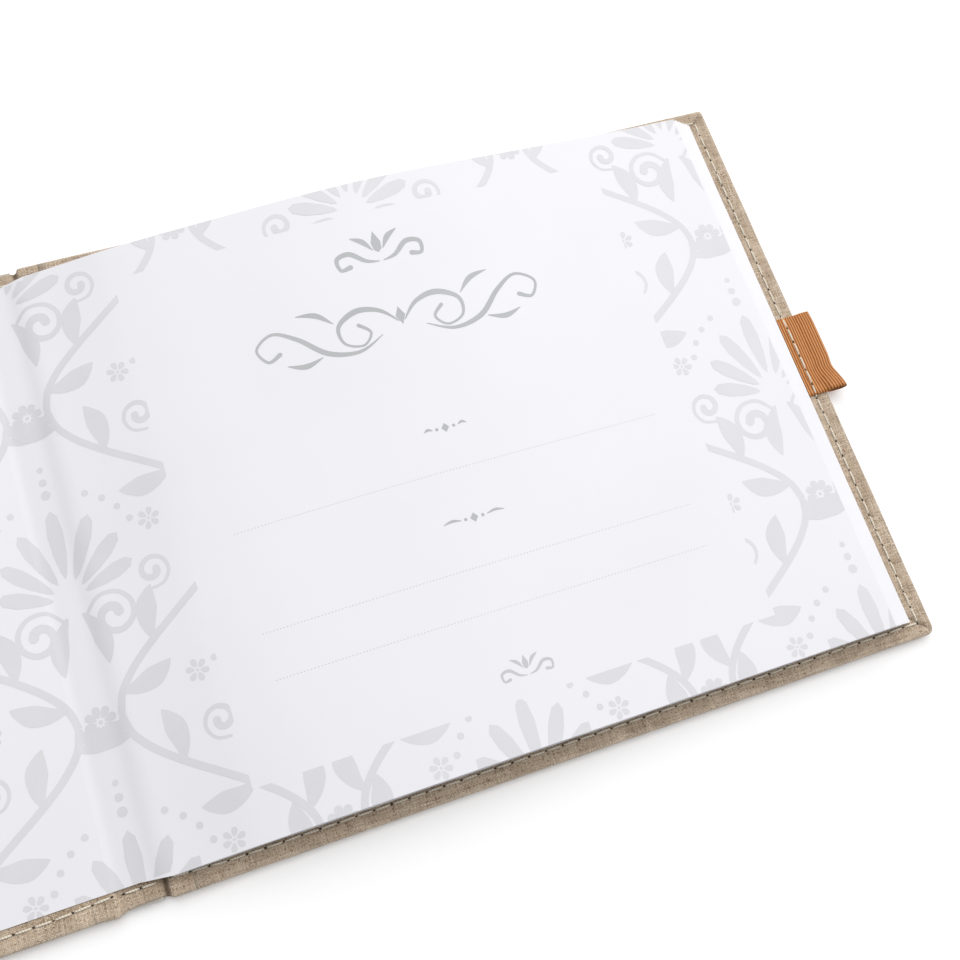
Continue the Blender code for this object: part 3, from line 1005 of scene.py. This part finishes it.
class Print:
    """Flat inked shapes on the spread, in millimetres, before they are cut to a page and laid on it."""

    def __init__(self):
        self.bm = bmesh.new()
        self.place = lambda x, y: (x, y)
        self.layer = 0

    def start(self):
        """Each shape lies a few micrometres over the one before, so that no two share a surface."""
        self.layer = (self.layer + 1) % INK_LAYERS

    def corner(self, x, y, further=0.0):
        return self.bm.verts.new((*self.place(x, y), INK_STEP * (self.layer + further)))

    def fill(self, outline):
        """A closed outline of points."""
        self.start()
        verts = [self.corner(*p) for p in outline]
        flat = [Vector((v.co.x, v.co.y, 0.0)) for v in verts]
        for triangle in tessellate_polygon([flat]):
            self.bm.faces.new([verts[i] for i in triangle])

    def dot(self, x, y, radius, sides=14):
        self.start()
        ring = [(x + radius * math.cos(2 * math.pi * k / sides),
                 y + radius * math.sin(2 * math.pi * k / sides))
                for k in range(sides)]
        self.bm.faces.new([self.corner(*p) for p in ring])

    def petal(self, x, y, angle, length, width):
        """A rounded petal that starts near the centre of its flower."""
        self.start()
        points = []
        for k in range(10):
            t = 2 * math.pi * k / 10
            along = 0.62 * length + 0.38 * length * math.cos(t)
            across = width * math.sin(t) * (0.72 + 0.28 * math.cos(t))
            points.append((x + along * math.cos(angle) - across * math.sin(angle),
                           y + along * math.sin(angle) + across * math.cos(angle)))
        self.bm.faces.new([self.corner(*p) for p in points])

    def flower(self, x, y, radius, petals):
        for k in range(petals):
            self.petal(x, y, 2 * math.pi * (k + 0.25) / petals, radius, radius * 0.34)
        self.dot(x, y, radius * 0.13, 8)

    def stroke(self, knots, round_end=False, steps=6):
        """A brush stroke through (x, y, width) knots."""
        self.start()
        line = catmull([Vector((x, y, w)) for x, y, w in knots], steps)
        last = len(line) - 1
        left, right = [], []
        for i, p in enumerate(line):
            ahead, behind = line[min(i + 1, last)], line[max(i - 1, 0)]
            tangent = Vector((ahead.x - behind.x, ahead.y - behind.y)).normalized()
            normal = Vector((-tangent.y, tangent.x))
            t = i / last
            half = max(0.05, p.z / 2)
            centre = Vector((p.x, p.y))
            left.append(self.corner(*(centre + normal * half), t))
            right.append(self.corner(*(centre - normal * half), t))
        for i in range(last):
            self.bm.faces.new((left[i], right[i], right[i + 1], left[i + 1]))
        if round_end:
            self.cap(line[-1], line[-2], left[-1], right[-1])

    def cap(self, end, before, left, right):
        """A half round past the end of a stroke."""
        half = end.z / 2
        heading = math.atan2(end.y - before.y, end.x - before.x)
        fan = []
        for k in range(1, 8):
            angle = heading - math.pi / 2 + math.pi * k / 8
            fan.append(self.corner(end.x + half * math.cos(angle), end.y + half * math.sin(angle), 1.0))
        self.bm.faces.new((left, right, *fan))


def blade(ink, x, y, heading, length, width, bend=0.0):
    """A pointed leaf that grows from its foot."""
    knots = []
    for t, share in ((0.0, 0.15), (0.3, 0.75), (0.6, 1.0), (0.85, 0.55), (1.0, 0.05)):
        along, aside = length * t, bend * math.sin(math.pi * t)
        knots.append((x + along * math.cos(heading) - aside * math.sin(heading),
                      y + along * math.sin(heading) + aside * math.cos(heading), width * share))
    ink.stroke(knots)


def volute(ink, x, y, radius, turns, start, width):
    """A scroll that winds in to a round end."""
    steps = round(8 * abs(turns))
    knots = []
    for k in range(steps + 1):
        t = k / steps
        angle, reach = start + 2 * math.pi * turns * t, radius * (1 - 0.78 * t)
        knots.append((x + reach * math.cos(angle), y + reach * math.sin(angle), width * (0.45 + 0.9 * t)))
    ink.stroke(knots, round_end=True)


def palmette(ink, x, y, size, pairs=3):
    """A fan of rounded petals, the middle one tallest."""
    for k in range(-pairs, pairs + 1):
        ink.petal(x, y, math.pi / 2 - 0.42 * k, size * (1 - 0.09 * abs(k)), size * 0.11)


def ogee(y):
    """The wavy stem between two axes: how far it is from the axis of its own column."""
    return PATTERN_WIDTH * (0.5 + 0.39 * math.cos(2 * math.pi * y / PATTERN_HEIGHT))


def stem(ink):
    """One stem of the ogee net over one repeat, with leaves on both its sides."""
    steps = 16
    heights = [PATTERN_HEIGHT * (k / steps - 0.5) for k in range(steps + 1)]
    ink.stroke([(ogee(y), y, 1.9) for y in heights])
    for k, y in enumerate(heights[1:-1:2]):
        heading = math.atan2(1.0, ogee(y + 0.5) - ogee(y - 0.5))
        turn = 0.75 if k % 2 else -0.75
        blade(ink, ogee(y), y, heading + turn, 14.0, 5.4, 1.4 if k % 2 else -1.4)


def axis_motifs(ink):
    """What stands on a mirror axis: a palmette with dots over it, and a rosette at the ogee's neck."""
    palmette(ink, 0.0, -10.0, 25.0)
    for k in range(3):
        ink.dot(0.0, 19.5 + 3.6 * k, 1.3 - 0.25 * k)
    ink.flower(0.0, PATTERN_HEIGHT / 2, 4.2, 8)


def side_motifs(ink):
    """What stands on each side of the axis."""
    volute(ink, 9.5, -17.0, 7.0, -1.4, math.pi * 0.9, 1.9)
    volute(ink, 21.5, -9.0, 5.0, 1.3, math.pi * 1.4, 1.5)
    ink.flower(24.0, 4.5, 3.0, 6)
    blade(ink, 2.0, -14.0, -math.pi * 0.42, 15.0, 4.6, 1.6)
    for k in range(4):
        angle = math.radians(62 - 13 * k)
        ink.dot(21.0 * math.cos(angle), -2.0 + 21.0 * math.sin(angle), 0.9)


def damask(ink, low_x, high_x):
    """A plain ogee damask between two places: wavy stems round palmettes, each column half a repeat up."""
    first = math.floor((low_x - PATTERN_AXIS) / PATTERN_WIDTH) - 1
    last = math.ceil((high_x - PATTERN_AXIS) / PATTERN_WIDTH) + 1
    for column in range(first, last + 1):
        axis = PATTERN_AXIS + column * PATTERN_WIDTH
        for row in range(-2, 3):
            level = row * PATTERN_HEIGHT + (PATTERN_HEIGHT / 2 if column % 2 else 0.0)
            ink.place = lambda x, y: (axis + x, level + y)
            axis_motifs(ink)
            for side in (-1, 1):
                ink.place = lambda x, y: (axis + side * x, level + y)
                side_motifs(ink)
                if column % 2 == 0:
                    stem(ink)
    ink.place = lambda x, y: (x, y)


def score(bm, axis, limit, **drop):
    """Cuts the shapes along a line in x or y, and can drop one side."""
    normal = Vector((1, 0, 0)) if axis == 0 else Vector((0, 1, 0))
    everything = list(bm.verts) + list(bm.edges) + list(bm.faces)
    bmesh.ops.bisect_plane(bm, geom=everything, plane_co=normal * limit, plane_no=normal, **drop)


def trim(bm, axis, limit, keep_above):
    """Cuts the shapes along a line, and drops one side."""
    score(bm, axis, limit, clear_inner=keep_above, clear_outer=not keep_above)


def clear_panel(bm):
    """Leaves the title panel free of the pattern."""
    for axis, limit in ((0, PANEL_LEFT), (0, PANEL_RIGHT), (1, PANEL_LOW), (1, PANEL_HIGH)):
        score(bm, axis, limit)
    inside = []
    for face in bm.faces:
        centre = face.calc_center_median()
        if PANEL_LEFT < centre.x < PANEL_RIGHT and PANEL_LOW < centre.y < PANEL_HIGH:
            inside.append(face)
    bmesh.ops.delete(bm, geom=inside, context="FACES")


def lay_print(name, ink, low_x, high_x, half, stations, height, material):
    """Cuts the inked shapes to a page, bends them onto it and makes them one piece."""
    bm = ink.bm
    trim(bm, 0, low_x, True)
    trim(bm, 0, high_x, False)
    trim(bm, 1, -half, True)
    trim(bm, 1, half, False)
    for x in stations:
        if low_x < x < high_x:
            score(bm, 0, x)
    for vert in bm.verts:
        vert.co.z += height(vert.co.x, vert.co.y) + INK_LIFT
        vert.co *= MM
    bm.normal_update()
    bmesh.ops.reverse_faces(bm, faces=[face for face in bm.faces if face.normal.z < 0])
    for face in bm.faces:
        face.smooth = True
    mesh = bpy.data.meshes.new(name)
    bm.to_mesh(mesh)
    bm.free()
    mesh.materials.append(material)
    thing = bpy.data.objects.new(name, mesh)
    bpy.context.scene.collection.objects.link(thing)
    return thing


def flourish(ink, x, y, scale):
    """A symmetrical pen flourish that stands where a title would."""
    for side in (-1, 1):
        def knots(points):
            return [(x + side * a * scale, y + b * scale, w * scale) for a, b, w in points]

        ink.stroke(knots([(0.8, -1.0, 0.3), (5, 3.2, 1.1), (11, 4.6, 1.6), (16.5, 1.6, 1.1),
                          (16.2, -3.4, 0.7),
                          (11.6, -5.2, 0.6), (8.8, -2.2, 0.7), (11.4, 0.6, 1.0)]), round_end=True)
        ink.stroke(knots([(6.0, -3.6, 0.2), (13, -6.6, 0.9), (21, -4.8, 1.4), (27.5, 1.2, 1.2),
                          (33.5, 4.6, 0.8),
                          (38.4, 1.6, 0.7), (36.4, -2.6, 0.8), (33.0, -1.4, 1.2)]), round_end=True)
        ink.stroke(knots([(17.5, 2.8, 0.2), (21.4, 6.4, 1.5), (26.4, 7.6, 0.2)]))
        ink.stroke(knots([(22.6, -5.4, 0.2), (27.4, -6.6, 1.5), (32.0, -5.2, 0.2)]))
    ink.fill([(x + a * scale, y + b * scale) for a, b in
              ((0, 3.0), (1.3, 0.4), (0, -2.2), (-1.3, 0.4))])


def small_flourish(ink, x, y, scale):
    """A little knot of two curls with a drop between them."""
    for side in (-1, 1):
        points = [(0.4, -1.4, 0.2), (3.4, -0.6, 0.9), (6.6, 2.0, 1.2), (9.6, 1.4, 1.0), (9.4, -1.4, 0.8),
                  (7.2, -1.2, 1.2)]
        ink.stroke([(x + side * a * scale, y + b * scale, w * scale) for a, b, w in points], round_end=True)
        points = [(1.2, 1.6, 0.2), (3.0, 4.2, 1.3), (5.4, 5.6, 0.2)]
        ink.stroke([(x + side * a * scale, y + b * scale, w * scale) for a, b, w in points])
    drop = [(0, 6.2), (1.1, 3.4), (0.9, 1.6), (0, 0.8)]
    ink.fill([(x + a * scale, y + b * scale) for a, b in drop + [(-a, b) for a, b in drop[2:0:-1]]])


def label_mark(ink, x, y, width):
    """A tiny divider in place of a printed label: a lozenge between two tapering dashes."""
    ink.fill([(x + a, y + b) for a, b in ((1.1, 0), (0, 1.3), (-1.1, 0), (0, -1.3))])
    for side in (-1, 1):
        ink.dot(x + side * 2.4, y, 0.45, 10)
        ink.stroke([(x + side * 3.6, y, 0.2), (x + side * (1.8 + width / 4), y + 0.5, 0.75),
                    (x + side * width / 2, y, 0.15)])


def title_print(ink):
    """The silver ornaments of the title panel."""
    centre = BACK_FORE - 115.5
    tail = -COVER_HALF
    small_flourish(ink, centre, tail + 146.0, 1.25)
    flourish(ink, centre, tail + 126.5, 1.05)
    label_mark(ink, BACK_FORE - 113.8, tail + 92.3, 12.0)
    label_mark(ink, BACK_FORE - 114.2, tail + 66.4, 17.0)


def rule_print(ink):
    """Three dotted rules to write on."""
    start, end, pitch = BACK_FORE - 174.8, BACK_FORE - 55.5, 0.9
    count = int((end - start) / pitch)
    for y in (80.5, 53.3, 41.1):
        for k in range(count + 1):
            x = start + k * pitch
            half_x, half_y = 0.17, 0.09
            y_here = -COVER_HALF + y
            ink.fill([(x - half_x, y_here - half_y), (x + half_x, y_here - half_y),
                      (x + half_x, y_here + half_y), (x - half_x, y_here + half_y)])


# ---------------------------------------------------------------- the pieces

LINEN = linen_material()
THREAD = thread_material()
HOLE = hole_material()
RIBBON_LOOK = ribbon_material()
ENDPAPER = paper_material("endpaper_look", (0.848, 0.838, 0.870), (0.872, 0.862, 0.890), 0.42)
PAGE_PAPER = paper_material("page_paper_look", (0.85, 0.842, 0.866), (0.875, 0.867, 0.887), 0.6)
DAMASK_INK = ink_material("damask_ink_look", (0.698, 0.694, 0.718), (0.742, 0.738, 0.760))
RULE_INK = ink_material("rule_ink_look", (0.55, 0.55, 0.57), (0.605, 0.605, 0.62))
SILVER_INK = ink_material("silver_ink_look", (0.44, 0.445, 0.455), (0.50, 0.505, 0.515))


def settle(thing, body, slot_name, *nodes):
    """Rides a piece on its body, in place of its CAD nodes."""
    if nodes:
        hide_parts(*nodes)
    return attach(thing, body)


def build_linen():
    back_start, front_start = SPINE_MIDDLE + JOINT_REACH, SPINE_MIDDLE - JOINT_REACH
    back = cover_linen("back_linen", back_start, BACK_FORE, (2.3, 1.3), 1.0)
    front = cover_linen("front_linen", front_start, FRONT_FORE, (1.6, 1.6), 2.0)
    settle(back, "back_cover", "linen", "back_cover_cloth")
    settle(front, "front_cover", "linen", "front_cover_cloth")

    back_joint = joint_linen("back_joint_linen", back_start, SPINE_MIDDLE, 1.0)
    front_joint = joint_linen("front_joint_linen", SPINE_MIDDLE, front_start, 2.0)
    for piece, bodies, axis, into in ((back_joint, ("back_cover", "spine"), BACK_AXIS, -1),
                                      (front_joint, ("front_cover", "spine"), FRONT_AXIS, 1)):
        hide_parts("spine_cloth")
        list(bodies)
        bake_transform(piece)


def build_stitches():
    back = cover_stitches("back_stitches", BACK_AXIS, BACK_FORE, True)
    front = cover_stitches("front_stitches", FRONT_AXIS, FRONT_FORE, False)
    settle(back, "back_cover", "cream_thread", "back_stitching")
    settle(front, "front_cover", "cream_thread", "front_stitching")
    for end, y in (("tail", -STITCH_HALF + 0.6), ("head", STITCH_HALF - 0.6)):
        settle(spine_stitches(f"spine_stitches_{end}", y), "spine", "cream_thread",
               f"spine_stitching_{end}")


def build_ribbon():
    piece, length = ribbon("ribbon")
    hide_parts("ribbon_tab", "ribbon_loop")
    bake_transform(piece)


def flatten(thing):
    """Gives the piece a mesh of its own."""
    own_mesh(thing)


def flat_leaf(name, node, stations, half, uneven=0.0):
    """A leaf that lies flat in its CAD place."""
    low, high = box_mm(node)
    return leaf_object(name, stations, lambda x, y: low.z, lambda x, y: high.z, half, ENDPAPER, uneven, 3.0)


def even_stations(low, high, count=40):
    return [low + (high - low) * i / count for i in range(count + 1)]


def build_leaves():
    for number, node in enumerate(SECTION_NAMES):
        settle(section_leaves(f"leaves_{number + 1}", number), "back_cover", "page_paper", node)
    flyleaf = flat_leaf("flyleaf", "back_flyleaf", page_stations(PAGE_START, FLYLEAF_HIGH.x), PAGE_HALF,
                        0.15)
    settle(flyleaf, "back_cover", "endpaper", "back_flyleaf")
    guest_stations = page_stations(PAGE_START, TITLE_END + 0.25)
    guest = leaf_object("guest_page", guest_stations, guest_under, guest_top, PAGE_HALF, PAGE_PAPER, 0.15,
                        4.0)
    settle(guest, "guest_leaf", "page_paper", "guest_leaf")
    flatten(guest)
    title_stations = page_stations(PAGE_START, TITLE_END)
    title = leaf_object("title_page", title_stations, title_under, title_top, PAGE_HALF, ENDPAPER)
    settle(title, "title_leaf", "endpaper", "title_leaf")
    flatten(title)


def build_endpapers():
    low, high = box_mm("front_pastedown")
    front = flat_leaf("front_endpaper", "front_pastedown", even_stations(low.x, CREASE), PASTEDOWN_HALF)
    settle(front, "front_cover", "endpaper", "front_pastedown")
    low, high = box_mm("back_pastedown")
    back = flat_leaf("back_endpaper", "back_pastedown", even_stations(low.x, high.x), PASTEDOWN_HALF)
    settle(back, "back_cover", "endpaper", "back_pastedown")
    near = endpaper_strip("gutter_paper_back", SPINE_MIDDLE, PAGE_START, PAGE_HALF)
    far = endpaper_strip("gutter_paper_front", CREASE, SPINE_MIDDLE, PASTEDOWN_HALF)
    bend_back(near)
    bend_front(far)


def bend_back(piece):
    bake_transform(piece)


def bend_front(piece):
    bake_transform(piece)


def build_print():
    ink = Print()
    damask(ink, PAGE_START, TITLE_END)
    clear_panel(ink.bm)
    stations = page_stations(PAGE_START, TITLE_END)
    page = lay_print("title_damask", ink, PAGE_START, TITLE_END - 0.1, PAGE_HALF - 0.1, stations,
                     title_top, DAMASK_INK)
    silver = Print()
    title_print(silver)
    ornaments = lay_print("title_ornaments", silver, PAGE_START, TITLE_END, PAGE_HALF, stations,
                          title_top, SILVER_INK)
    pale = Print()
    rule_print(pale)
    small_flourish(pale, BACK_FORE - 114.0, -COVER_HALF + 24.0, 0.7)
    rules = lay_print("title_rules", pale, PAGE_START, TITLE_END, PAGE_HALF, stations, title_top, RULE_INK)
    for piece in (page, ornaments, rules):
        settle(piece, "title_leaf", "endpaper")
        flatten(piece)

    low, high = box_mm("front_pastedown")
    ink = Print()
    damask(ink, low.x, CREASE)
    front = lay_print("front_damask", ink, low.x + 0.1, CREASE, PASTEDOWN_HALF - 0.1, [],
                      lambda x, y: PASTEDOWN_TOP, DAMASK_INK)
    settle(front, "front_cover", "endpaper")
    for name, start, end, bend in (("gutter_damask_back", SPINE_MIDDLE, PAGE_START, bend_back),
                                   ("gutter_damask_front", CREASE, SPINE_MIDDLE, bend_front)):
        ink = Print()
        damask(ink, start, end)
        piece = lay_print(name, ink, start, end, PASTEDOWN_HALF - 0.1, strip_stations(start, end),
                          gutter_height,
                          DAMASK_INK)
        bend(piece)


def dress_cad():
    """Materials for the hidden CAD parts that keep their own shape."""
    greyboard = fibre_material("greyboard_look", (0.30, 0.28, 0.25), (0.46, 0.44, 0.40))
    card = fibre_material("spine_card_look", (0.40, 0.36, 0.30), (0.56, 0.52, 0.45))
    sewing = fibre_material("sewing_look", (0.72, 0.64, 0.50), (0.94, 0.91, 0.82))
    looks = {"back_board": greyboard, "front_board": greyboard, "spine_board": card,
             "spine_lining": gauze_material(), "section_sewing": sewing}
    for node, material in looks.items():
        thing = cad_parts[node]
        for slot in thing.material_slots:
            slot.material = material


# ---------------------------------------------------------------- the studio

def build_studio():
    """Plain white floor, a broad overhead light, a weaker one from the right, and an even sky."""
    mesh = bpy.data.meshes.new("floor")
    size = 3.0
    mesh.from_pydata([(-size, -size, 0), (size, -size, 0), (size, size, 0), (-size, size, 0)], [],
                     [(0, 1, 2, 3)])
    floor = bpy.data.objects.new("floor", mesh)
    floor.location.z = -0.0003
    bpy.context.scene.collection.objects.link(floor)
    nodes = Nodes("floor_look")
    mesh.materials.append(nodes.finish((0.96, 0.96, 0.96, 1.0), 0.9))
    nodes.shader.inputs["Emission Color"].default_value = (1.0, 1.0, 1.0, 1.0)
    nodes.shader.inputs["Emission Strength"].default_value = 0.1
    nodes.shader.inputs["Specular IOR Level"].default_value = 0.1

    for name, place, aim, power, width in (("overhead", (0.3, 0.75, 1.4), (0.05, 0.0, 0.0), 26.3, 2.2),
                                           ("side", (1.3, 0.1, 0.7), (0.05, 0.0, 0.0), 5.7, 0.9)):
        light = bpy.data.lights.new(name, "AREA")
        light.energy = power
        light.size = width
        lamp = bpy.data.objects.new(name, light)
        lamp.location = place
        lamp.rotation_euler = (Vector(aim) - Vector(place)).to_track_quat("-Z", "Y").to_euler()
        bpy.context.scene.collection.objects.link(lamp)

    world = bpy.data.worlds.new("studio")
    world.use_nodes = True
    sky = world.node_tree.nodes["Background"]
    sky.inputs[0].default_value = (0.97, 0.98, 1.0, 1.0)
    sky.inputs[1].default_value = 0.34
    bpy.context.scene.world = world
    bpy.context.scene.view_settings.view_transform = "Standard"


def build_camera():
    """Looks steeply down on the right-hand page, turned a little to the left."""
    data = bpy.data.cameras.new("camera")
    data.lens = 43.28
    data.sensor_width = 36.0
    data.clip_start = 0.01
    camera = bpy.data.objects.new("camera", data)
    camera.location = Vector((44.3, -93.0, 303.0)) * MM
    camera.rotation_euler = Euler([math.radians(a) for a in (18.376, -6.449, -18.843)])
    bpy.context.scene.collection.objects.link(camera)
    bpy.context.scene.camera = camera


build_linen()
build_stitches()
build_ribbon()
build_leaves()
build_endpapers()
build_print()
dress_cad()
build_studio()
build_camera()
